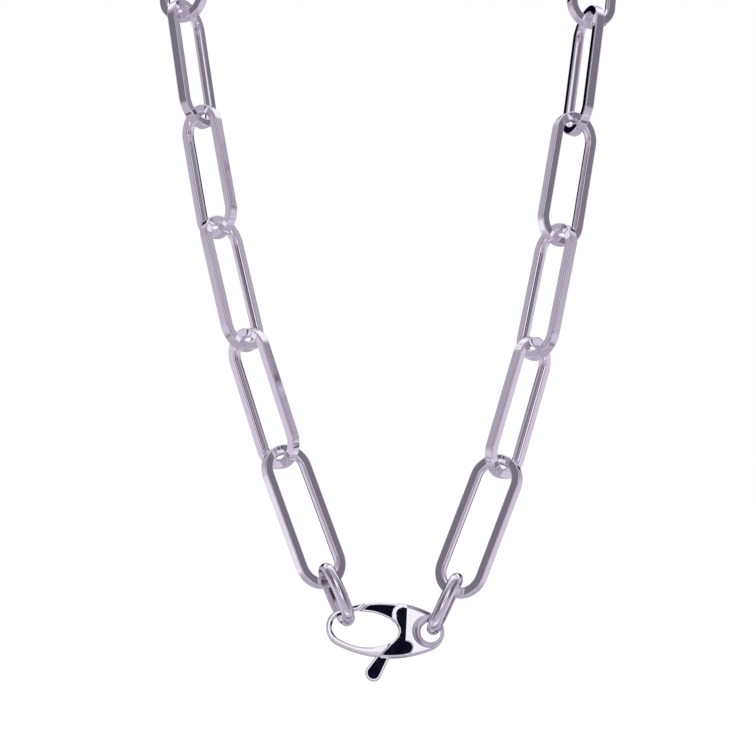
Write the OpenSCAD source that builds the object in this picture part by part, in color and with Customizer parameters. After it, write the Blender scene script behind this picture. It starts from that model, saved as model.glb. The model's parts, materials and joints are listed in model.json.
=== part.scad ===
// Paperclip chain necklace closed by an oval lobster clasp.
// Millimetres. X right, Y away from the viewer, Z up; the origin is where it rests at the nape.

/* [Links] */
// Outer length of a paperclip link
link_length = 16.56; // [14:0.1:20]
// Outer width of a paperclip link
link_width = 6.0; // [5.2:0.1:8]
// Side of the square link wire
link_wire = 1.1; // [0.8:0.05:1.3]
// How far the link wire's edges are rounded in, measured on the wire's diagonal
link_edge = 0.08; // [0.02:0.01:0.15]
// Radius of the link wire's domed inner side
link_dome = 0.85; // [0.75:0.05:1.5]
// Play between two links that hang in each other
link_play = 0.21; // [0.1:0.01:0.3]

/* [End rings] */
// Outer length of an end ring
ring_length = 7.35; // [7:0.05:8]
// Outer width of an end ring
ring_width = 4.6; // [4.4:0.1:5.5]
// Radial thickness of the ring wire
ring_wire = 0.8; // [0.6:0.05:0.9]
// Width of the half-round ring wire across the ring
ring_band = 1.4; // [1.1:0.05:1.5]
// How far the inner edges of the ring wire are rounded in, measured on its diagonal
ring_edge = 0.08; // [0.05:0.01:0.15]

/* [Clasp body] */
// Length of the clasp
clasp_length = 12.74; // [12.4:0.1:14]
// Height of the clasp
clasp_height = 5.9; // [5.7:0.1:7]
// Radius of the clasp's two ends
clasp_end = 2.0; // [1.7:0.1:2.4]
// Thickness of the hook
hook_thick = 1.5; // [1.4:0.1:2.0]
// Thickness over the two cheeks
cheek_thick = 2.6; // [2.4:0.1:3.2]
// Thickness over the ring end
tail_thick = 1.5; // [1.4:0.1:2.4]
// Length of the eye
eye_length = 7.2; // [6.8:0.1:7.4]
// Height of the eye
eye_height = 3.8; // [3.4:0.02:4.0]
// Wall between the eye and the hook's round end
eye_wall = 0.64; // [0.5:0.02:0.8]
// Bevel round the clasp's edges
clasp_bevel = 0.25; // [0.1:0.05:0.35]
// Radius of the hole for the ring
hole_radius = 1.08; // [0.9:0.02:1.15]
// Wall between that hole and the clasp's end
hole_wall = 0.39; // [0.3:0.01:0.6]
// Radius of the dished recess about that hole
recess_radius = 1.75; // [1.5:0.05:1.9]
// Thickness left round that hole, at the bottom of the dish
lug_thick = 1.2; // [1.0:0.1:1.4]

/* [Trigger] */
// Thickness of the trigger plate
trigger_thick = 0.9; // [0.7:0.05:1.0]
// Free space at each face of the trigger plate
slot_play = 0.05; // [0.03:0.01:0.1]
// Gap between the gate's tip and the hook's tip
gate_gap = 0.12; // [0.1:0.01:0.2]
// Radius of the pivot pin
pin_radius = 0.35; // [0.3:0.01:0.4]
// Running play of the trigger on its pin, radial
pin_play = 0.05; // [0.03:0.01:0.08]
// Wall of the hub round the pin's hole
hub_wall = 0.28; // [0.2:0.02:0.3]
// Radius of the lever's rounded end
lever_radius = 0.85; // [0.7:0.05:0.95]
// How far the lever's rounded end lies below the clasp's middle
lever_drop = 4.7; // [4.5:0.05:5.5]
// How far the lever's rounded end lies left of the pivot
lever_back = 3.25; // [3:0.05:3.6]

/* [Hidden] */
$fn = 96;
far = 20;

// Contact depth of a round inner end of radius r on a bar of half width h
function sink(r, h) = r - sqrt(max(r * r - h * h, 0));
// Half width that a bar of half width a takes up in a loop of half band b, when it crosses it askew
function crossing(a, b, skew) = a / cos(skew) + b * tan(skew);
function unit(p) = p / norm(p);
function dir(a, b) = [sin(a) * cos(b), sin(b), cos(a) * cos(b)];

// Link wire and spacing of the links
wire_ball = link_wire / sqrt(2) - link_edge;
link_bend = link_width / 2 - link_wire / 2;
link_arm = link_length - link_width;
wire_flat = sqrt(wire_ball * wire_ball - link_wire * link_wire / 4);
bar_half = (link_wire / 2 + wire_flat) / 2;
link_gap = 2 * sink(link_width / 2 - link_wire, bar_half) + link_play;
pitch = link_length - 2 * link_wire - link_gap;

// How the clasp lies: rolled, then leaned back
clasp_roll = 3;
clasp_lean = 17;

module at_clasp() {
    rotate([-clasp_lean, 0, 0]) rotate([0, clasp_roll, 0]) rotate([90, 0, 0]) children();
}
function clasp_point(u, v) =
    let (x = u * cos(clasp_roll) + v * sin(clasp_roll), z = v * cos(clasp_roll) - u * sin(clasp_roll))
    [x, z * sin(clasp_lean), z * cos(clasp_lean)];

// Middles of the eye and of the ring hole, in the clasp's own plane, and the eye's right end
eye_u = -clasp_length / 2 + eye_wall + eye_length / 2;
eye_v = -0.02;
eye_roll = -3;
eye_end = 1.35;
eye_right = eye_u + eye_length / 2;
hole_u = clasp_length / 2 - hole_wall - hole_radius;
hole_v = 0.02;
hole_flare = 0.25;
dish_rim = 0.2;
clasp_top = clasp_height / 2;

// Way of each side from the clasp to the nape: sideways angle, lean back and twist of each link
side_rows = [
    [
        [-20.96, 11.0, 38.8], [-18.64, 12.8, -39.8], [-14.28, 14.0, 55], [-11.27, 14.4, -39.9],
        [-9.69, 14.2, 62], [-5.8, 13.3, -20],
        [-10.4, 16.7, 71], [-16.3, 23.1, -17], [-19.8, 30.4, 75], [-16.8, 38.8, -17], [-4.4, 46.9, 65],
        [19, 50.4, -43], [45.2, 45.2, 28], [64.7, 33.4, -75], [78.5, 17.7, 8]],
    [
        [22.0, 11.0, -33.6], [17.49, 12.8, 45.0], [12.81, 14.0, -56], [11.03, 14.4, 30],
        [8.96, 14.2, -72], [6.92, 13.3, 17],
        [10.4, 16.7, -74], [16.3, 23.1, 14], [19.8, 30.4, -77], [16.8, 38.8, 15], [4.4, 46.9, -67],
        [-19, 50.4, 41], [-45.2, 45.2, -30], [-64.7, 33.4, 73], [-78.5, 17.7, -13]]];
side_count = len(side_rows[0]);
shown = 6;
link_count = 2 * side_count + 1;
middle_twist = -86;

// The end rings: where each is seated in the clasp's plane, how it leans and how it is turned
hook_seat_side = 0.644;
hook_seat_up = 0.84;
hook_seat = clasp_point(
    eye_u - eye_length / 2 * hook_seat_side,
    eye_v + eye_height / 2 * hook_seat_up);
hole_seat_turn = 62;
hole_seat = clasp_point(
    hole_u + hole_radius * cos(hole_seat_turn),
    hole_v + hole_radius * sin(hole_seat_turn));
ring_dir = [dir(-25, 13), dir(27, 13)];
ring_twist = [-69, 78];
ring_inner = ring_length - 2 * ring_wire;
ring_end = ring_width / 2 - ring_wire;
ring_ball = norm([ring_wire, ring_band]) / 2 - ring_edge;
band_half = sqrt(ring_ball * ring_ball - ring_wire * ring_wire / 4);

// Slack of each ring on its seat and of the first link in it, and how far that link hangs to the side
hook_slack = 0.44;
hole_slack = 0.24;
left_slack = 0.53;
right_slack = 0.45;
left_shift = -0.3;
right_shift = 0.25;

// How far a ring's inner end lies past its seat, and a link's inner end past the ring's
seat_drop = [
    sink(ring_end, hook_thick / 2 - clasp_bevel) + sink(eye_end, band_half) + hook_slack,
    sink(ring_end, lug_thick / 2 - ring_edge) + sink(hole_radius, band_half) + hole_slack];
link_slack = [left_slack, right_slack];
ring_skew = [for (k = [0, 1]) abs(abs(ring_twist[k] - side_rows[k][0][2]) - 90)];
top_drop = [for (k = [0, 1])
    sink(ring_end, crossing(bar_half, band_half, ring_skew[k]))
        + sink(link_width / 2 - link_wire, crossing(band_half, bar_half, ring_skew[k])) + link_slack[k]];
ring_foot = [hook_seat - seat_drop[0] * ring_dir[0], hole_seat - seat_drop[1] * ring_dir[1]];
ring_mid = [for (k = [0, 1]) ring_foot[k] + ring_dir[k] * ring_inner / 2];
ring_top = [for (k = [0, 1]) ring_foot[k] + ring_dir[k] * ring_inner];
link_side = [[left_shift, 0, 0], [right_shift, 0, 0]];

// The links round the back stand at an angle to each other and take more play
back_play = 0.2;
back_links = 4;
pull_rounds = 40;
function step_of(i) = pitch - (i >= side_count - back_links ? back_play : 0);
back_steps = [for (i = [shown:side_count - 1]) step_of(i)];
turned_steps = [for (i = [side_count - 1:-1:shown]) step_of(i)];

// First joint of each side, then one step along each row
function row_dir(k, i) = dir(side_rows[k][i][0], side_rows[k][i][1]);
function row_step(k, i) = i < side_count ? step_of(i) * row_dir(k, i) : [0, 0, 0];
function rough(k) = [
    for (i = 0, p = ring_top[k] - (top_drop[k] - link_gap / 2) * ring_dir[k] + link_side[k]; i <= side_count;
        p = p + row_step(k, i), i = i + 1) p];
rough_way = [rough(0), rough(1)];
nape_mid = [
    0,
    (rough_way[0][side_count][1] + rough_way[1][side_count][1]) / 2,
    (rough_way[0][side_count][2] + rough_way[1][side_count][2]) / 2];

// Pull the hidden joints until each step has its length and both sides meet the link at the nape
function pull_back(w, goal, st) = let (n = len(w) - 1) [
    for (i = n, p = goal; i >= 0; i = i - 1, p = i >= 0 ? p + st[i] * unit(w[i] - p) : p) p];
function pulled(w, a, b, times) =
    times == 0 ? w : pulled(pull_back(pull_back(w, b, back_steps), a, turned_steps), a, b, times - 1);
function hidden_part(k) = [for (i = [shown:side_count]) rough_way[k][i]];
function nape_end(k) = nape_mid + [(k == 0 ? -1 : 1) * step_of(side_count) / 2, 0, 0];
function way(k) = concat(
    [for (i = [0:shown - 1]) rough_way[k][i]],
    pulled(hidden_part(k), rough_way[k][shown], nape_end(k), pull_rounds));
side_way = [way(0), way(1)];

// Trigger: its pivot, hub, gate and lever
pivot_inset = 0.78;
pivot_rise = 0.5;
pivot = [eye_right + pivot_inset, pivot_rise];
hub_radius = pin_radius + pin_play + hub_wall;
gate_end = pivot[0] + pin_radius;
lever_mid = [pivot[0] - lever_back, -lever_drop];

// Outline of the web and lever. Columns: left of the pivot in shares of lever_back,
// and down in shares of lever_drop
lever_rows = [
    [0.123, 0.362], [0.508, 0.617], [0.612, 0.8], [0.748, 0.957],
    [1.252, 0.968], [1.24, 0.84], [1.089, 0.704], [0.895, 0.617], [0.631, 0.362]];

// Rounded front of the cheeks over the gate
nose_inset = 0.28;
nose_drop = 1.3;
nose_lip = 0.17;
nose = [eye_right + nose_inset, clasp_top - nose_drop];
nose_radius = nose_drop - nose_lip;

// Left edge of the cheeks under the nose. Columns: left of the pivot and down, in shares of clasp_top
cheek_rows = [[0.915, 2], [0.881, 1], [0.83, 0.847], [0.688, 0.678], [0.44, 0.424], [0.39, -0.3]];

// Slot between the cheeks. Columns: left of the pivot and down, in shares of clasp_top
slot_rows = [
    [1.068, 2], [-0.034, 2], [-0.119, 0.814], [-0.264, 0.475], [-0.264, -0.475], [-0.203, -0.644],
    [-0.203, -2], [1.068, -2]];
slot_wall = 0.12;

slot = trigger_thick + 2 * slot_play;

// Slanted split between the hook's tip and the gate
split_left = 0.24;
split_down = 0.56;
split_mid = [eye_u - split_left, clasp_top - split_down];
split_slant = 44;
split_half = 1.3;
foot_inset = 0.47;
foot_drop = 0.3;
split_foot = [eye_right - foot_inset, pivot[1] - foot_drop];

// Names, from the lowest link on the left over the nape to the lowest on the right
function two(n) = n < 10 ? str("0", n) : str(n);

// The origin lies where the middle link rests against the nape
nape_rest = link_width / 2;
origin = nape_mid + [0, -nape_rest, 0];

// Puts a loop that stands along Z between two points, its face turned from the viewer's side
module stood(p, q, twist) {
    d = unit(q - p);
    n0 = unit([0, -1, 0] + d[1] * d);
    n = n0 * cos(twist) + cross(d, n0) * sin(twist);
    s = cross(n, d);
    c = (p + q) / 2;
    multmatrix([
        [s[0], n[0], d[0], c[0]],
        [s[1], n[1], d[1], c[1]],
        [s[2], n[2], d[2], c[2]],
        [0, 0, 0, 1]]) children();
}

// A long loop with round ends: bend is the radius of its middle line, arm its straight length
module loop(bend, arm) {
    for (side = [0, 180]) {
        rotate([0, 0, side]) {
            translate([bend, 0, -arm / 2]) linear_extrude(height = arm) children();
        }
        rotate([side, 0, 0]) {
            translate([0, 0, arm / 2]) rotate([90, 0, 0]) {
                rotate_extrude(angle = 180) translate([bend, 0]) children();
            }
        }
    }
}

// Square wire, domed inside: x points away from the link's middle
module link_section() {
    intersection() {
        square([link_wire, link_wire], center = true);
        circle(r = wire_ball);
        translate([link_dome - link_wire / 2, 0]) circle(r = link_dome);
    }
}

// Half-round wire, flat inside: x points away from the ring's middle
module ring_section() {
    intersection() {
        translate([(ring_wire - ring_band) / 2, 0]) circle(r = ring_band / 2);
        translate([-ring_wire / 2, -ring_band]) square(2 * ring_band);
        circle(r = ring_ball);
    }
}

module paper_link(i) {
    k = i <= side_count + 1 ? 0 : 1;
    row = k == 0 ? i - 1 : link_count - i;
    middle = i == side_count + 1;
    p = middle ? side_way[0][side_count] : side_way[k][row];
    q = middle ? side_way[1][side_count] : side_way[k][row + 1];
    twist = middle ? middle_twist : side_rows[k][row][2];
    color("#d9d6e0") translate(-origin) stood(p, q, twist) loop(link_bend, link_arm) link_section();
}

module end_ring(k) {
    p = ring_mid[k] - ring_dir[k];
    q = ring_mid[k] + ring_dir[k];
    color("#d2cfdb") translate(-origin) stood(p, q, ring_twist[k]) {
        loop(ring_width / 2 - ring_wire / 2, ring_length - ring_width) ring_section();
    }
}

module ring_left() {
    end_ring(0);
}

module ring_right() {
    end_ring(1);
}

// Four-arc oval: radius of its long arcs, and the wedge in which those arcs run
function long_radius(a, b, r) = (pow(a - r, 2) + b * b - r * r) / (2 * (b - r));
module oval_wedge(a, b, r) {
    big = long_radius(a, b, r);
    k = 3 * b;
    x = a - r + k * (a - r) / (big - r);
    y = k * (big - b) / (big - r);
    polygon([[a - r, 0], [x, y], [-x, y], [r - a, 0], [-x, -y], [x, -y]]);
}

module oval_face(a, b, r) {
    big = long_radius(a, b, r);
    for (side = [-1, 1]) {
        translate([side * (a - r), 0]) circle(r = r);
    }
    intersection() {
        translate([0, b - big]) circle(r = big);
        translate([0, big - b]) circle(r = big);
        oval_wedge(a, b, r);
    }
}

module bevelled_disc(r, t, c) {
    rotate_extrude() polygon([
        [0, -t / 2], [r - c, -t / 2], [r, -t / 2 + c], [r, t / 2 - c], [r - c, t / 2], [0, t / 2]]);
}

// A disc for cutting a hole with flared rims, a little taller than the plate
module flared_disc(r, t, c) {
    over = 0.4;
    rotate_extrude() polygon([
        [0, -t / 2 - over], [r + c + over, -t / 2 - over], [r, -t / 2 + c],
        [r, t / 2 - c], [r + c + over, t / 2 + over], [0, t / 2 + over]]);
}

module bevelled_oval(a, b, r, t, c) {
    big = long_radius(a, b, r);
    for (side = [-1, 1]) {
        translate([side * (a - r), 0, 0]) bevelled_disc(r, t, c);
    }
    intersection() {
        translate([0, b - big, 0]) bevelled_disc(big, t, c);
        translate([0, big - b, 0]) bevelled_disc(big, t, c);
        translate([0, 0, -t]) linear_extrude(height = 2 * t) oval_wedge(a, b, r);
    }
}

module eye_face() {
    translate([eye_u, eye_v]) rotate([0, 0, eye_roll]) oval_face(eye_length / 2, eye_height / 2, eye_end);
}

module prism(t) {
    translate([0, 0, -t / 2]) linear_extrude(height = t) children();
}

// The plane right of the split, down to the pivot and as far as the gate reaches
module right_of_split(gap) {
    along = [cos(split_slant), sin(split_slant)];
    g = gap * [along[1], -along[0]];
    polygon([
        split_mid - split_half * along + g, split_mid + split_half * along + g,
        [gate_end, clasp_height], [gate_end, pivot[1]], split_foot]);
}

function from_pivot(rows, wide, high) = [for (q = rows) [pivot[0] - q[0] * wide, -q[1] * high]];

module hook() {
    difference() {
        bevelled_oval(clasp_length / 2, clasp_height / 2, clasp_end, hook_thick, clasp_bevel);
        prism(far) eye_face();
        prism(far) right_of_split(0);
    }
}

module cheek_face() {
    polygon(concat(
        [nose, [nose[0], clasp_height], [clasp_length, clasp_height], [clasp_length, -clasp_height]],
        from_pivot(cheek_rows, clasp_top, clasp_top)));
}

// Side view of the cheeks: they taper from the pivot to the ring end
module taper_face() {
    h = cheek_thick / 2;
    e = tail_thick / 2;
    tail = clasp_length / 2;
    polygon([
        [-tail, -h], [pivot[0], -h], [tail, -e], [far, -e], [far, e], [tail, e], [pivot[0], h], [-tail, h]]);
}

module cheeks() {
    difference() {
        intersection() {
            bevelled_oval(clasp_length / 2, clasp_height / 2, clasp_end, cheek_thick, clasp_bevel);
            union() {
                prism(far) cheek_face();
                translate([nose[0], nose[1], 0]) bevelled_disc(nose_radius, cheek_thick, clasp_bevel);
            }
            rotate([90, 0, 0]) prism(far) taper_face();
        }
        prism(far) eye_face();
    }
}

// Dish round the ring hole on one face, from the lug's face out to the tapered cheek
module dish() {
    foot = hole_radius + hole_flare + dish_rim;
    rotate_extrude() polygon([
        [0, lug_thick / 2], [foot, lug_thick / 2], [recess_radius, tail_thick / 2],
        [recess_radius, cheek_thick], [0, cheek_thick]]);
}

module at_pivot() {
    translate([pivot[0], pivot[1], 0]) children();
}

module clasp_body() {
    color("#cfccd8") translate(-origin) at_clasp() difference() {
        union() {
            hook();
            cheeks();
        }
        prism(slot) polygon(from_pivot(slot_rows, clasp_top, clasp_top));
        at_pivot() cylinder(h = slot, r = hub_radius + slot_wall, center = true);
        translate([hole_u, hole_v, 0]) {
            flared_disc(hole_radius, lug_thick, hole_flare);
            for (side = [0, 180]) {
                rotate([side, 0, 0]) dish();
            }
        }
        at_pivot() cylinder(h = far, r = pin_radius, center = true);
    }
}

module trigger_plate(t) {
    difference() {
        union() {
            prism(t) intersection() {
                oval_face(clasp_length / 2, clasp_height / 2, clasp_end);
                right_of_split(gate_gap);
            }
            at_pivot() cylinder(h = t, r = hub_radius, center = true);
            prism(t) polygon(concat(
                [pivot + [-0.6, 0.1] * hub_radius, pivot + [0.9, -0.3] * hub_radius],
                from_pivot(lever_rows, lever_back, lever_drop)));
            translate([lever_mid[0], lever_mid[1], 0]) cylinder(h = t, r = lever_radius, center = true);
        }
        prism(far) eye_face();
        at_pivot() cylinder(h = far, r = pin_radius + pin_play, center = true);
    }
}

module clasp_trigger() {
    color("#b9b6c6") translate(-origin) at_clasp() trigger_plate(trigger_thick);
}

module pivot_pin() {
    color("#c6c3d0") translate(-origin) at_clasp() at_pivot() {
        cylinder(h = cheek_thick, r = pin_radius, center = true);
    }
}

clasp_body();
clasp_trigger();
pivot_pin();
ring_left();
ring_right();
for (i = [1:link_count]) {
    paper_link(i);
}
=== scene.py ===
"""Looks of a paperclip chain necklace with an oval lobster clasp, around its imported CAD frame.

Every link and ring is swept round the place of its own CAD loop, the rings with slightly bowed
sides. The clasp is carved from smooth fields. Sizes are in millimetres and become metres when a
mesh is made.
"""

import json
import math

import bpy
import numpy as np
from mathutils import Matrix, Vector


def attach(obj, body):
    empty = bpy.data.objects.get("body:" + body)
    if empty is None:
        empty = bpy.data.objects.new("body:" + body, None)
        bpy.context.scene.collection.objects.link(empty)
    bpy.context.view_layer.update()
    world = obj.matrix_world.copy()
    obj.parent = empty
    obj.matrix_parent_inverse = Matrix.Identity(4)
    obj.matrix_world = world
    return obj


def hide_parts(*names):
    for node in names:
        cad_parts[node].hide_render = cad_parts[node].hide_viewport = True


MM = 0.001

# Links and end rings
LINK_LENGTH = 16.56
LINK_WIDTH = 6.0
LINK_WIRE = 1.1
LINK_FILLET = 0.15
LINK_DOME = 0.85
RING_LENGTH = 7.35
RING_WIDTH = 4.6
RING_WIRE = 0.8
RING_BAND = 1.4
RING_FILLET = 0.12
RING_END = 1.62

# Clasp, in its own plane: u to the right, v up, w towards the viewer
CLASP_ROLL = 3.0
CLASP_LEAN = 17.0
PIVOT = (2.25, 0.5)
OVAL = (6.37, 2.95, 2.0)
EYE = (3.6, 1.9, 1.35)
EYE_AT = (-2.13, -0.02)
EYE_ROLL = -3.0
HOOK_INNER = 0.62
HOOK_OUTER = 0.66
HOOK_BEVEL = (0.52, 1.43)
CHEEK_THICK = 2.6
CHEEK_BEVEL = 0.08
CHEEK_BAND = (0.06, 0.42)
CHEEK_EDGE = 1.1
HOOK_EDGE = (0.05, 0.56)
STEEP = 3.2
HOOK_FLAT = 0.67
FLAT_LENGTH = 1.6
TIP_BAND = 0.2
SLOPE = 0.16
LOBE = (2.35, -1.85)
LOBE_RADIUS = 0.68
NOSE = (1.75, 1.65)
NOSE_RADIUS = 0.68
TAIL_THICK = 1.5
TAIL_START = 2.25
HOLE_AT = (4.9, 0.02)
HOLE_RADIUS = 1.08
HOLE_FLARE = 0.22
RECESS_RADIUS = 1.75
DISH_RISE = 0.36
LUG_THICK = 1.2
SLOT = 1.0
SLOT_START = -0.9
TRIGGER_THICK = 0.9
GATE_END = 2.6
GATE_GAP = 0.12
GATE_BEVEL = 0.22
GATE_BAND = 0.1
HUB_RADIUS = 0.68
PIN_RADIUS = 0.35
BORE_DEPTH = 1.1
LEVER_AT = (-1.0, -4.62)
LEVER_RADIUS = 0.88
LEVER_NECK = (-0.05, -2.9)
NECK_RADIUS = 0.66
LEVER_BEVEL = 0.08
LEVER_BAND = 0.2
SPLIT_AT = (-2.6, 2.39)
SPLIT_SLANT = 44.0
SPLIT_GAP = 0.0
GATE_FOOT = 0.2
PIN_PLAY = 0.05
PIN_SINK = 0.02
LOBE_EDGE = 0.08

# Where a sloped band or edge of the clasp changes its size, along u or v
BAND_GROWS = (-1.9, -1.2)
RIM_GROWS = (-1.5, 1)
EDGE_GROWS = (SLOT_START - 0.3, SLOT_START - 0.05)

# Corners of the clasp's outlines. FAR and FAR_RIGHT lie outside its oval
FAR = 5.9
FAR_RIGHT = 12.7
CHEEK_CORNERS = [
    NOSE, (NOSE[0], FAR), (FAR_RIGHT, FAR), (FAR_RIGHT, -FAR), (-0.45, -FAR), (-0.3, -2.85), (-0.11, -2.5),
    (0.32, -2.05), (1.05, -1.36), (1.5, -0.8), (1.66, -0.3), (1.62, 0.15), (1.3, 0.7), (1.1, 1.2)]
SLOT_CORNERS = [
    (SLOT_START, -FAR), (2.35, -FAR), (2.6, -2.4), (3.03, -1.4), (3.03, 1.4), (2.85, 1.9), (2.85, FAR),
    (SLOT_START, FAR)]
WEB_CORNERS = [(1.84, 0.57), (2.86, 0.3), (1.85, -1.7), (0.6, -2.9), (-0.66, -2.9), (0.2, -1.7)]

# How softly two surfaces of the clasp meet, from a sharp crease to a wide blend
CREASE = 0.012
CRISP = 0.03
EASED = 0.04
ROUNDED = 0.05
SOFT = 0.06
FLOWING = 0.08
JOINED = 0.1
MERGED = 0.15
MELTED = 0.2

# Meshes of the clasp: the boxes that hold its pieces, and the steps of grid and normals
CLASP_BOX = ((-6.6, -3.2, -1.5), (6.6, 3.2, 1.5))
TRIGGER_BOX = ((-3.4, -5.8, -0.6), (3.2, 3.2, 0.6))
PIN_BOX = ((1.8, 0.0, -1.4), (2.7, 1.0, 1.4))
GRID = 0.045
PIN_GRID = 0.03
SLOPE_STEP = 0.004
NORMAL_STEP = 0.012

# Camera: level, looking along +Y, its place told from the clasp's pivot
CAMERA_FROM_PIVOT = (-3.033, -150.912, 26.785)
CAMERA_LENS = 66.667
CAMERA_NEAR = 0.001

# Floor and lamp, in metres
FLOOR_Z = -0.3
FLOOR_REACH = 2.0
LAMP_AT = (0.1, -0.1, 0.7)
LAMP_SIZE = 0.5
LAMP_POWER = 4.0

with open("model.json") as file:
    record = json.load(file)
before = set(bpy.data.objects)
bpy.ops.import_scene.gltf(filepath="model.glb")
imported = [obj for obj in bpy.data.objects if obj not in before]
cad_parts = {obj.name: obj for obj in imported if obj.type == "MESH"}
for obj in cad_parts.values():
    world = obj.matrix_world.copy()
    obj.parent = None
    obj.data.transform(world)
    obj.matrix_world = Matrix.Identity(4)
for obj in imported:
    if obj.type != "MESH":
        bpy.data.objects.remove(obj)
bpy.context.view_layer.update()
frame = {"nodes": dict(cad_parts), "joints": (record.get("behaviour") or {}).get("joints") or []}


# Materials

def new_material(name):
    """A material with only a Principled shader, and that shader."""
    material = bpy.data.materials.new(name)
    material.use_nodes = True
    return material, material.node_tree, material.node_tree.nodes["Principled BSDF"]


def add_node(tree, kind, **values):
    """A shader node with its properties or inputs set by name."""
    node = tree.nodes.new(kind)
    for key, value in values.items():
        if hasattr(node, key):
            setattr(node, key, value)
        else:
            node.inputs[key.replace("_", " ")].default_value = value
    return node


def polished_silver(name, colour, rough, waves, scratch):
    """Polished white metal: faint tarnish, fine polishing lines and slight waves. Heights are in mm."""
    material, tree, shader = new_material(name)
    shader.inputs["Metallic"].default_value = 1.0
    place = add_node(tree, "ShaderNodeTexCoord")
    tint = add_node(tree, "ShaderNodeTexNoise", Scale=420.0, Detail=3.0, Roughness=0.6)
    tree.links.new(place.outputs["Object"], tint.inputs["Vector"])
    ramp = add_node(tree, "ShaderNodeValToRGB")
    ramp.color_ramp.elements[0].position = 0.3
    ramp.color_ramp.elements[0].color = (*[c * 0.955 for c in colour], 1.0)
    ramp.color_ramp.elements[1].position = 0.7
    ramp.color_ramp.elements[1].color = (*colour, 1.0)
    tree.links.new(tint.outputs["Fac"], ramp.inputs["Fac"])
    tree.links.new(ramp.outputs["Color"], shader.inputs["Base Color"])
    worn = add_node(tree, "ShaderNodeTexNoise", Scale=900.0, Detail=4.0, Roughness=0.65)
    tree.links.new(place.outputs["Object"], worn.inputs["Vector"])
    gloss = add_node(tree, "ShaderNodeMapRange")
    gloss.inputs["From Min"].default_value = 0.3
    gloss.inputs["From Max"].default_value = 0.75
    gloss.inputs["To Min"].default_value = rough * 0.7
    gloss.inputs["To Max"].default_value = rough * 1.5
    tree.links.new(worn.outputs["Fac"], gloss.inputs["Value"])
    tree.links.new(gloss.outputs["Result"], shader.inputs["Roughness"])
    wave = add_node(tree, "ShaderNodeTexNoise", Scale=380.0, Detail=1.0, Roughness=0.4)
    tree.links.new(place.outputs["Object"], wave.inputs["Vector"])
    stretch = add_node(tree, "ShaderNodeMapping")
    stretch.inputs["Scale"].default_value = (9000.0, 9000.0, 700.0)
    tree.links.new(place.outputs["Object"], stretch.inputs["Vector"])
    line = add_node(tree, "ShaderNodeTexNoise", Scale=1.0, Detail=5.0, Roughness=0.7)
    tree.links.new(stretch.outputs["Vector"], line.inputs["Vector"])
    wavy = add_node(tree, "ShaderNodeBump", Strength=1.0, Distance=waves * MM)
    tree.links.new(wave.outputs["Fac"], wavy.inputs["Height"])
    fine = add_node(tree, "ShaderNodeBump", Strength=1.0, Distance=scratch * MM)
    tree.links.new(line.outputs["Fac"], fine.inputs["Height"])
    tree.links.new(wavy.outputs["Normal"], fine.inputs["Normal"])
    tree.links.new(fine.outputs["Normal"], shader.inputs["Normal"])
    return material


def paper_floor():
    """Pale matt studio paper."""
    material, tree, shader = new_material("studio_paper")
    shader.inputs["Base Color"].default_value = (0.93, 0.93, 0.94, 1.0)
    shader.inputs["Roughness"].default_value = 0.9
    shader.inputs["Specular IOR Level"].default_value = 0.1
    shader.inputs["Emission Color"].default_value = (1.0, 1.0, 1.0, 1.0)
    shader.inputs["Emission Strength"].default_value = 0.5
    return material


link_metal = polished_silver("link_silver", (0.93, 0.90, 0.955), 0.075, 0.006, 0.00004)
ring_metal = polished_silver("ring_silver", (0.91, 0.885, 0.94), 0.09, 0.006, 0.00004)
clasp_metal = polished_silver("clasp_silver", (0.93, 0.91, 0.96), 0.06, 0.003, 0.00003)


# Meshes

def add_mesh(name, points, faces, normals, material, body, slot, *nodes):
    """A smooth mesh with its own normals, in metres in the row frame, that stands for CAD nodes."""
    mesh = bpy.data.meshes.new(name)
    mesh.from_pydata([tuple(p) for p in points], [], [tuple(f) for f in faces])
    mesh.materials.append(material)
    mesh.shade_smooth()
    mesh.normals_split_custom_set_from_vertices([tuple(n) for n in normals])
    mesh.update()
    thing = bpy.data.objects.new(name, mesh)
    bpy.context.scene.collection.objects.link(thing)
    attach(thing, body)
    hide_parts(*nodes)
    return thing


def loop_axes(node):
    """Centre and axes of a CAD loop, from the moments of its surface: across, through its face, along."""
    mesh = frame["nodes"][node].data
    mesh.calc_loop_triangles()
    corners = np.array([[mesh.vertices[i].co for i in t.vertices] for t in mesh.loop_triangles])
    area = np.linalg.norm(np.cross(corners[:, 1] - corners[:, 0], corners[:, 2] - corners[:, 0]), axis=1) / 2
    total = area.sum()
    centre = (area[:, None] * corners.mean(1)).sum(0) / total
    local = corners - centre
    middle = local.sum(1)
    moment = np.einsum("t,tki,tkj->ij", area / 12, local, local)
    moment += np.einsum("t,ti,tj->ij", area / 12, middle, middle)
    vectors = np.linalg.eigh(moment)[1]
    along = vectors[:, 2] * (1 if vectors[2, 2] > 0 else -1)
    through = vectors[:, 0] * (-1 if vectors[1, 0] > 0 else 1)
    return centre, np.cross(through, along), through, along


def arc(x, y, radius, start, end, steps):
    """Rows x, y, normal x, normal y along an arc that bulges outwards."""
    angles = np.linspace(start, end, steps)
    c, s = np.cos(angles), np.sin(angles)
    return np.stack([x + radius * c, y + radius * s, c, s], 1)


def wire_section(side, fillet, dome):
    """Section of square wire with small round edges and a domed inner side. x points out of the loop."""
    half = side / 2
    flat = half - fillet
    turn = math.pi - math.asin(flat / (dome - fillet))
    corner = dome - half + (dome - fillet) * math.cos(turn)
    upper = np.vstack([
        arc(flat, flat, fillet, 0, math.pi / 2, steps=8),
        arc(corner, flat, fillet, math.pi / 2, turn, steps=6),
        arc(dome - half, 0, dome, turn, math.pi, steps=8)[1:]])
    lower = upper[-2::-1] * (1, -1, 1, -1)
    return np.vstack([upper, lower])


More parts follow.
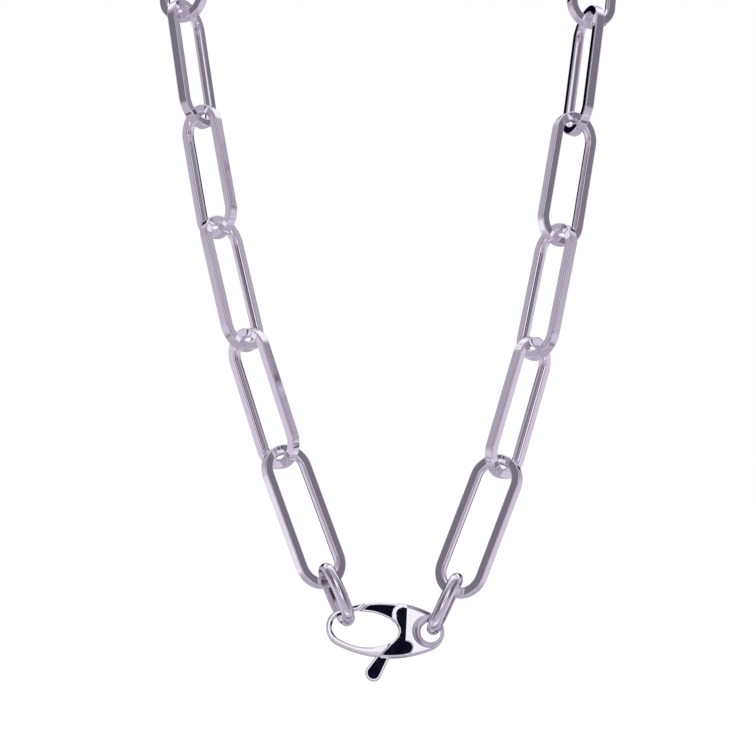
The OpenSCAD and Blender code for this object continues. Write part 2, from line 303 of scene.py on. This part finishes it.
def half_round(thick, band, fillet):
    """Section of half-round wire, its flat inside. x points out of the loop."""
    radius, flat = band / 2, thick / 2
    middle = flat - radius
    turn = math.acos((fillet - flat - middle) / (radius - fillet))
    corner = (radius - fillet) * math.sin(turn)
    upper = np.vstack([
        arc(middle, 0, radius, 0, turn, steps=16),
        arc(fillet - flat, corner, fillet, turn, math.pi, steps=7)[1:]])
    lower = upper[:0:-1] * (1, -1, 1, -1)
    return np.vstack([upper, lower])


def loop_path(length, width, end_radius, bends=30, arms=8):
    """Points and outward directions round a long loop. Its sides bow if its ends are narrower than it is."""
    rise = length / 2 - end_radius
    if width / 2 - end_radius < 1e-6:
        path = [((width / 2, rise * t), (1.0, 0.0)) for t in np.linspace(-1, 1, arms, endpoint=False)]
        turn = 0.0
    else:
        side_radius = (width ** 2 / 4 + rise ** 2 - end_radius ** 2) / (width - 2 * end_radius)
        turn = math.atan2(rise, side_radius - width / 2)
        path = []
        for a in np.linspace(-turn, turn, 2 * arms, endpoint=False):
            out = (math.cos(a), math.sin(a))
            path.append(((side_radius * (out[0] - 1) + width / 2, side_radius * out[1]), out))
    for a in np.linspace(turn, math.pi - turn, bends, endpoint=False):
        out = (math.cos(a), math.sin(a))
        path.append(((end_radius * out[0], rise + end_radius * out[1]), out))
    return path + [((-x, -y), (-out[0], -out[1])) for (x, y), out in path]


def sweep_loop(name, node, path, section, material, slot):
    """Sweeps a section round the long loop that a CAD node holds. The section's x points out of the loop."""
    centre, across, through, along = loop_axes(node)
    points, normals = [], []
    for (x, y), out in path:
        outward = out[0] * across + out[1] * along
        foot = centre / MM + x * across + y * along
        points.append(foot + section[:, :1] * outward - section[:, 1:2] * through)
        normals.append(section[:, 2:3] * outward - section[:, 3:] * through)
    rings, count = len(path), len(section)
    faces = []
    for i in range(rings):
        j = (i + 1) % rings
        for k in range(count):
            m = (k + 1) % count
            faces.append((i * count + k, j * count + k, j * count + m, i * count + m))
    points, normals = np.vstack(points) * MM, np.vstack(normals)
    return add_mesh(name, points, faces, normals, material, "necklace", slot, node)


link_section = wire_section(LINK_WIRE, LINK_FILLET, LINK_DOME)
link_path = loop_path(LINK_LENGTH - LINK_WIRE, LINK_WIDTH - LINK_WIRE, (LINK_WIDTH - LINK_WIRE) / 2)
ring_section = half_round(RING_WIRE, RING_BAND, RING_FILLET)
ring_path = loop_path(RING_LENGTH - RING_WIRE, RING_WIDTH - RING_WIRE, RING_END)
for node in sorted(frame["nodes"]):
    if node.startswith("link_"):
        sweep_loop(f"silver_{node}", node, link_path, link_section, link_metal, "link_metal")
    if node.startswith("ring_"):
        sweep_loop(f"silver_{node}", node, ring_path, ring_section, ring_metal, "ring_metal")


# Fields: below zero inside, in millimetres, on points p with columns u, v, w

def smooth_max(a, b, k):
    """The larger of two fields, blended over the distance k."""
    h = np.maximum(k - np.abs(a - b), 0) / k
    return np.maximum(a, b) + h * h * k / 4


def smooth_min(a, b, k):
    return -smooth_max(-a, -b, k)


def oval(u, v, size):
    """Four-arc oval: half length, half height and the radius of its ends."""
    a, b, r = size
    big = ((a - r) ** 2 + b * b - r * r) / (2 * (b - r))
    x, y = np.abs(u), np.abs(v)
    long_side = (a - r) * (y + big - b) > (big - b) * x
    return np.where(long_side, np.hypot(x, y + big - b) - big, np.hypot(x - a + r, y) - r)


def turned(u, v, at, degrees):
    """Coordinates from a point, along axes that are turned anticlockwise."""
    c, s = math.cos(math.radians(degrees)), math.sin(math.radians(degrees))
    x, y = u - at[0], v - at[1]
    return c * x + s * y, c * y - s * x


def eye(u, v):
    return oval(*turned(u, v, EYE_AT, EYE_ROLL), EYE)


def polygon(u, v, corners):
    """Exact signed distance to a simple polygon."""
    near = np.full(u.shape, 1e9)
    inside = np.zeros(u.shape, bool)
    for (ax, ay), (bx, by) in zip(corners, corners[1:] + corners[:1]):
        ex, ey = bx - ax, by - ay
        t = np.clip(((u - ax) * ex + (v - ay) * ey) / (ex * ex + ey * ey), 0, 1)
        near = np.minimum(near, (u - ax - ex * t) ** 2 + (v - ay - ey * t) ** 2)
        crosses = (ay > v) != (by > v)
        inside ^= crosses & (u < ex * (v - ay) / (by - ay if by != ay else 1e-12) + ax)
    return np.where(inside, -1, 1) * np.sqrt(near)


def bevelled(outline, depth, bevel, soft=SOFT):
    """A plate from an outline's distance and the height above its face, its edge cut at 45 degrees."""
    cut = (outline + depth + bevel) / math.sqrt(2)
    return smooth_max(smooth_max(outline, depth, soft), cut, soft)


def sloped(outline, w, edge, rise=SLOPE):
    """A slope that climbs from half thickness edge at an outline, by rise for each step inwards."""
    return (np.abs(w) - edge + rise * outline) / math.hypot(1, rise)


def banded(outline, depth, band):
    """A gentle slope that falls over a band along an outline. depth is the height above the face."""
    return (depth + SLOPE * (band + outline)) / math.hypot(1, SLOPE)


def disc(u, v, at, radius):
    """Distance to a disc."""
    return np.hypot(u - at[0], v - at[1]) - radius


def tapered_bar(u, v, start, end, start_radius, end_radius):
    """Distance to a bar with round ends of two radii."""
    ex, ey = end[0] - start[0], end[1] - start[1]
    t = np.clip(((u - start[0]) * ex + (v - start[1]) * ey) / (ex * ex + ey * ey), 0, 1)
    radius = start_radius + t * (end_radius - start_radius)
    return np.hypot(u - start[0] - ex * t, v - start[1] - ey * t) - radius


def right_of_split(u, v, gap):
    """Distance to the slanted split between the hook's tip and the gate, below zero on the gate's side."""
    return turned(u, v, SPLIT_AT, SPLIT_SLANT)[1] + gap


def hook_field(u, v, w):
    """The hook: a bar round the eye with a low ridge between two gentle slopes and a bevel outside."""
    outer, inner = oval(u, v, OVAL), -eye(u, v)
    bar = smooth_max(sloped(inner, w, HOOK_INNER), sloped(outer, w, HOOK_OUTER), CREASE)
    split = right_of_split(u, v, SPLIT_GAP)
    gate_side = np.maximum(np.maximum(split, PIVOT[1] - v), u - GATE_END)
    flat_end = np.abs(w) - HOOK_FLAT - np.maximum(disc(u, v, SPLIT_AT, FLAT_LENGTH), 0)
    bar = smooth_max(bar, flat_end, CREASE)
    bar = smooth_max(bar, banded(-gate_side, np.abs(w) - HOOK_FLAT, TIP_BAND), CREASE)
    bar = smooth_max(bar, sloped(outer, w, *HOOK_BEVEL), EASED)
    edge = np.interp(u, EDGE_GROWS, HOOK_EDGE)
    bar = smooth_max(bar, sloped(inner, w, edge, STEEP), CRISP)
    bar = smooth_max(bar, smooth_max(outer, inner, ROUNDED), SOFT)
    return smooth_max(bar, -gate_side, EASED)


def cheek_face(u, v):
    """Outline of the cheeks' flat faces: a round nose over the gate and a waist above the lever."""
    return smooth_min(polygon(u, v, CHEEK_CORNERS), disc(u, v, NOSE, NOSE_RADIUS), MERGED)


def cheek_depth(u, v, w):
    """Height above the cheeks' faces, which taper from the pivot to the ring end but not on the lobe."""
    fall = (CHEEK_THICK - TAIL_THICK) / 2 / (OVAL[0] - TAIL_START)
    off_lobe = np.clip(disc(u, v, LOBE, LOBE_RADIUS) / LOBE_EDGE, 0, 1)
    return np.abs(w) - CHEEK_THICK / 2 + fall * np.maximum(u - TAIL_START, 0) * off_lobe


def cheek_field(u, v, w):
    """The two cheeks as one thick plate with flat faces, sloped bands along them and the tail behind."""
    outer, inner, face = oval(u, v, OVAL), -eye(u, v), cheek_face(u, v)
    band = np.interp(v, BAND_GROWS, CHEEK_BAND)
    depth = cheek_depth(u, v, w)
    plate = bevelled(smooth_max(outer, face - band, JOINED), depth, CHEEK_BEVEL)
    plate = smooth_max(plate, banded(outer, depth, np.interp(v, RIM_GROWS, CHEEK_BAND)), CREASE)
    plate = smooth_max(plate, banded(face, depth, 0), CREASE)
    plate = smooth_max(plate, sloped(inner, w, CHEEK_EDGE, STEEP), CRISP)
    return smooth_max(plate, inner, ROUNDED)


def slot_field(u, v, w):
    """The slot between the cheeks in which the trigger turns."""
    return np.maximum(polygon(u, v, SLOT_CORNERS), np.abs(w) - SLOT / 2)


def ring_end_field(u, v, w):
    """What is cut away at the ring end: the flared hole and a dish about it on both faces."""
    hole = disc(u, v, HOLE_AT, HOLE_RADIUS)
    flare = (hole - (np.abs(w) - LUG_THICK / 2 + HOLE_FLARE)) / math.sqrt(2)
    floor = (LUG_THICK / 2 + DISH_RISE * np.maximum(hole, 0) - np.abs(w)) / math.hypot(1, DISH_RISE)
    dish = smooth_max(disc(u, v, HOLE_AT, RECESS_RADIUS), floor, ROUNDED)
    return smooth_min(smooth_min(hole, flare, ROUNDED), dish, ROUNDED)


def body_field(p):
    """The clasp's body: hook and cheeks, less the slot, the ring end's hole and the pin's bore."""
    u, v, w = p[:, 0], p[:, 1], p[:, 2]
    solid = smooth_min(hook_field(u, v, w), cheek_field(u, v, w), FLOWING)
    solid = smooth_max(solid, -slot_field(u, v, w), EASED)
    solid = smooth_max(solid, -ring_end_field(u, v, w), SOFT)
    bore = np.maximum(disc(u, v, PIVOT, PIN_RADIUS), np.abs(w) - BORE_DEPTH)
    return np.maximum(solid, -bore)


def trigger_field(p):
    """The trigger: gate, hub and lever in one plate."""
    u, v, w = p[:, 0], p[:, 1], p[:, 2]
    depth = np.abs(w) - TRIGGER_THICK / 2
    gate = smooth_max(oval(u, v, OVAL), right_of_split(u, v, GATE_GAP), MERGED)
    gate = smooth_max(smooth_max(gate, u - GATE_END, JOINED), GATE_FOOT - v, JOINED)
    web = polygon(u, v, WEB_CORNERS)
    lever = smooth_min(web, tapered_bar(u, v, LEVER_AT, LEVER_NECK, LEVER_RADIUS, NECK_RADIUS), MELTED)
    lever = smooth_min(lever, disc(u, v, PIVOT, HUB_RADIUS), JOINED)
    lever = smooth_max(bevelled(lever, depth, LEVER_BEVEL), banded(lever, depth, LEVER_BAND), CREASE)
    tip = banded(right_of_split(u, v, GATE_GAP), depth, TIP_BAND)
    gate = smooth_max(bevelled(gate, depth, GATE_BEVEL), tip, CREASE)
    plate = smooth_min(gate, lever, ROUNDED)
    plate = smooth_max(plate, banded(-eye(u, v), depth, GATE_BAND), CREASE)
    plate = smooth_max(plate, -eye(u, v), EASED)
    return smooth_max(plate, -disc(u, v, PIVOT, PIN_RADIUS + PIN_PLAY), CRISP)


def pin_field(p):
    """The pivot pin. Its ends lie a hair under the faces, as a rivet's do when no seam shows."""
    u, v, w = p[:, 0], p[:, 1], p[:, 2]
    return np.maximum(disc(u, v, PIVOT, PIN_RADIUS), cheek_depth(u, v, w) + PIN_SINK)


def slope(field, p, step=SLOPE_STEP):
    """Gradient of a field."""
    shifts = np.eye(3) * step
    return np.stack([field(p + s) - field(p - s) for s in shifts], 1) / (2 * step)


def carve(field, box, grid):
    """Closed quad mesh of a field's surface in a box: points, faces and normals."""
    low, high = np.array(box[0]), np.array(box[1])
    counts = np.ceil((high - low) / grid).astype(int) + 1
    axes = [low[k] + grid * np.arange(counts[k]) for k in range(3)]
    nodes = np.stack(np.meshgrid(*axes, indexing="ij"), -1).reshape(-1, 3)
    value = field(nodes).reshape(counts)
    inside = value < 0
    total = np.zeros((*counts, 3))
    hits = np.zeros(counts)
    edges = []
    for k in range(3):
        first = [slice(None)] * 3
        second = [slice(None)] * 3
        first[k], second[k] = slice(0, -1), slice(1, None)
        cross = inside[tuple(first)] != inside[tuple(second)]
        at = np.argwhere(cross)
        f0 = value[tuple(first)][cross]
        f1 = value[tuple(second)][cross]
        point = at.astype(float)
        point[:, k] += f0 / (f0 - f1)
        others = [m for m in range(3) if m != k]
        around = []
        for da, db in ((0, 0), (-1, 0), (-1, -1), (0, -1)):
            cell = at.copy()
            cell[:, others[0]] += da
            cell[:, others[1]] += db
            around.append(cell)
            np.add.at(total, tuple(cell.T), point)
            np.add.at(hits, tuple(cell.T), 1)
        edges.append((around, inside[tuple(first)][cross] == (k != 1)))
    used = hits > 0
    index = np.full(counts, -1)
    index[used] = np.arange(used.sum())
    points = total[used] / hits[used][:, None] * grid + low
    faces = []
    for around, keep in edges:
        quad = np.stack([index[tuple(c.T)] for c in around], 1)
        faces.append(np.where(keep[:, None], quad, quad[:, ::-1]))
    faces = np.vstack(faces)
    for _ in range(3):
        g = slope(field, points)
        move = field(points)[:, None] * g / np.maximum((g * g).sum(1), 0.25)[:, None]
        points = points - np.clip(move, -grid / 2, grid / 2)
    normals = slope(field, points, NORMAL_STEP)
    return points, faces, normals / np.linalg.norm(normals, axis=1)[:, None]


# Where the clasp lies: its turn repeats the CAD's, its place comes from the pivot's joint
joint = next(j for j in frame["joints"] if j["name"] == "trigger_pivot")
clasp_turn = (
    Matrix.Rotation(math.radians(-CLASP_LEAN), 3, "X")
    @ Matrix.Rotation(math.radians(CLASP_ROLL), 3, "Y")
    @ Matrix.Rotation(math.radians(90), 3, "X"))
clasp_turn = np.array(clasp_turn)
clasp_at = np.array(joint["pos_m"]) / MM - clasp_turn @ np.array([PIVOT[0], PIVOT[1], 0.0])


def carve_piece(name, field, box, grid, body, slot, node):
    """Carves a piece of the clasp and lays it in its place."""
    points, faces, normals = carve(field, box, grid)
    placed = (points @ clasp_turn.T + clasp_at) * MM
    return add_mesh(name, placed, faces, normals @ clasp_turn.T, clasp_metal, body, slot, node)


carve_piece("silver_clasp", body_field, CLASP_BOX, GRID, "necklace", "clasp_metal", "clasp_body")
carve_piece("silver_trigger", trigger_field, TRIGGER_BOX, GRID, "trigger", "trigger_metal", "clasp_trigger")
carve_piece("silver_pin", pin_field, PIN_BOX, PIN_GRID, "necklace", "clasp_metal", "pivot_pin")


# Studio

def toward(azimuth, elevation):
    """Direction from the object; azimuth 0 is the camera's side and 90 is the viewer's right."""
    a, e = math.radians(azimuth), math.radians(elevation)
    return Vector((math.sin(a) * math.cos(e), -math.cos(a) * math.cos(e), math.sin(e)))


class Surroundings:
    """The studio round the object, as soft cards of even tone painted over one another."""

    def __init__(self, base):
        world = bpy.data.worlds.new("studio")
        world.use_nodes = True
        bpy.context.scene.world = world
        self.tree = world.node_tree
        self.tree.nodes.clear()
        self.way = self.tree.nodes.new("ShaderNodeTexCoord").outputs["Generated"]
        start = self.tree.nodes.new("ShaderNodeRGB")
        start.outputs[0].default_value = (*base, 1.0)
        self.colour = start.outputs[0]

    def math(self, kind, a, b=None):
        """Result of one calculation on sockets or plain numbers."""
        node = self.tree.nodes.new("ShaderNodeMath")
        node.operation = kind
        for socket, value in zip(node.inputs, (a, b)):
            if isinstance(value, (int, float)):
                socket.default_value = value
            elif value is not None:
                self.tree.links.new(value, socket)
        return node.outputs[0]

    def dot(self, vector):
        """Dot product of the direction looked in with a fixed one."""
        node = self.tree.nodes.new("ShaderNodeVectorMath")
        node.operation = "DOT_PRODUCT"
        self.tree.links.new(self.way, node.inputs[0])
        node.inputs[1].default_value = vector
        return node.outputs["Value"]

    def card(self, colour, azimuth, elevation, half_wide, half_high, soft=0.3, amount=1.0):
        """Paints an oval card. Half sizes are in degrees, soft is the share of them over which it fades."""
        out = toward(azimuth, elevation)
        right = toward(azimuth + 90, 0)
        up = right.cross(-out)
        x = self.math("DIVIDE", self.dot(right), math.sin(math.radians(half_wide)))
        y = self.math("DIVIDE", self.dot(up), math.sin(math.radians(half_high)))
        reach = self.math("SQRT", self.math("ADD", self.math("MULTIPLY", x, x), self.math("MULTIPLY", y, y)))
        node = self.tree.nodes.new("ShaderNodeMapRange")
        node.interpolation_type = "SMOOTHSTEP"
        self.tree.links.new(reach, node.inputs["Value"])
        node.inputs["From Min"].default_value = 1 + soft
        node.inputs["From Max"].default_value = 1 - soft
        front = self.math("GREATER_THAN", self.dot(out), 0.0)
        factor = self.math("MULTIPLY", self.math("MULTIPLY", node.outputs["Result"], front), amount)
        mix = self.tree.nodes.new("ShaderNodeMix")
        mix.data_type = "RGBA"
        self.tree.links.new(factor, mix.inputs["Factor"])
        self.tree.links.new(self.colour, mix.inputs["A"])
        mix.inputs["B"].default_value = (*colour, 1.0)
        self.colour = mix.outputs["Result"]

    def finish(self, backdrop):
        """The camera sees plain backdrop; everything else sees the cards."""
        seen = self.tree.nodes.new("ShaderNodeBackground")
        seen.inputs["Color"].default_value = (*backdrop, 1.0)
        cards = self.tree.nodes.new("ShaderNodeBackground")
        self.tree.links.new(self.colour, cards.inputs["Color"])
        path = self.tree.nodes.new("ShaderNodeLightPath")
        mix = self.tree.nodes.new("ShaderNodeMixShader")
        self.tree.links.new(path.outputs["Is Camera Ray"], mix.inputs["Fac"])
        self.tree.links.new(cards.outputs[0], mix.inputs[1])
        self.tree.links.new(seen.outputs[0], mix.inputs[2])
        out = self.tree.nodes.new("ShaderNodeOutputWorld")
        self.tree.links.new(mix.outputs[0], out.inputs["Surface"])


WHITE = (1.0, 0.985, 1.01)
PALE = (0.46, 0.425, 0.50)
LIGHT = (0.56, 0.52, 0.60)
SILVER = (0.68, 0.62, 0.73)
GREY = (0.20, 0.18, 0.22)
DARK = (0.04, 0.035, 0.045)
NAVY = (0.002, 0.002, 0.010)

# Each card: colour, azimuth and elevation of its middle, half its width and half its height, in degrees.
# Low in front and high behind
studio = Surroundings(PALE)
studio.card(LIGHT, 0, -40, 70, 30, soft=0.4)
studio.card(DARK, 0, -63, 60, 5, soft=0.4, amount=0.8)
studio.card(WHITE, 180, 66, 48, 28, soft=0.12)
studio.card(WHITE, 0, -34, 28, 8, soft=0.4)

# Both sides: the tones of the links' faces, then the dark flags that draw their thin edge lines
for side in (-1, 1):
    studio.card(SILVER, side * 100, -14, 33, 24, soft=0.3)
    studio.card(GREY, side * 58, 28, 22, 28, soft=0.25)
    studio.card(WHITE, side * 107, -15, 3, 18, soft=0.3)
    studio.card(NAVY, side * 145, 25, 18, 10, soft=0.2)
    studio.card(NAVY, side * 158, 6, 9, 11, soft=0.2)
    studio.card(NAVY, side * 145, -16, 18, 7, soft=0.2)
    studio.card(DARK, side * 33, 25, 7, 16, soft=0.3)

# The bright panel that whitens the clasp's slopes, and the dark one in it that its flat faces show
studio.card(WHITE, 0.5, 25, 20, 20, soft=0.15)
studio.card(NAVY, 0.5, 24, 6, 8, soft=0.3)
studio.finish(backdrop=(1.0, 1.0, 1.0))

floor_mesh = bpy.data.meshes.new("floor")
floor_corners = [(x * FLOOR_REACH, y * FLOOR_REACH, 0) for x, y in ((-1, -1), (1, -1), (1, 1), (-1, 1))]
floor_mesh.from_pydata(floor_corners, [], [(0, 1, 2, 3)])
floor_mesh.materials.append(paper_floor())
floor = bpy.data.objects.new("floor", floor_mesh)
bpy.context.scene.collection.objects.link(floor)
floor.location = (0, 0, FLOOR_Z)
floor.visible_glossy = False

lamp = bpy.data.lights.new("softbox", "AREA")
lamp.shape = "DISK"
lamp.size = LAMP_SIZE
lamp.energy = LAMP_POWER
lamp_at = bpy.data.objects.new("softbox", lamp)
bpy.context.scene.collection.objects.link(lamp_at)
lamp_at.location = LAMP_AT
lamp_at.visible_glossy = False

camera = bpy.data.cameras.new("camera")
camera.lens = CAMERA_LENS
camera.clip_start = CAMERA_NEAR
camera_at = bpy.data.objects.new("camera", camera)
bpy.context.scene.collection.objects.link(camera_at)
camera_at.location = Vector(joint["pos_m"]) + Vector(CAMERA_FROM_PIVOT) * MM
camera_at.rotation_euler = (math.radians(90), 0, 0)
bpy.context.scene.camera = camera_at
bpy.context.scene.view_settings.view_transform = "Standard"
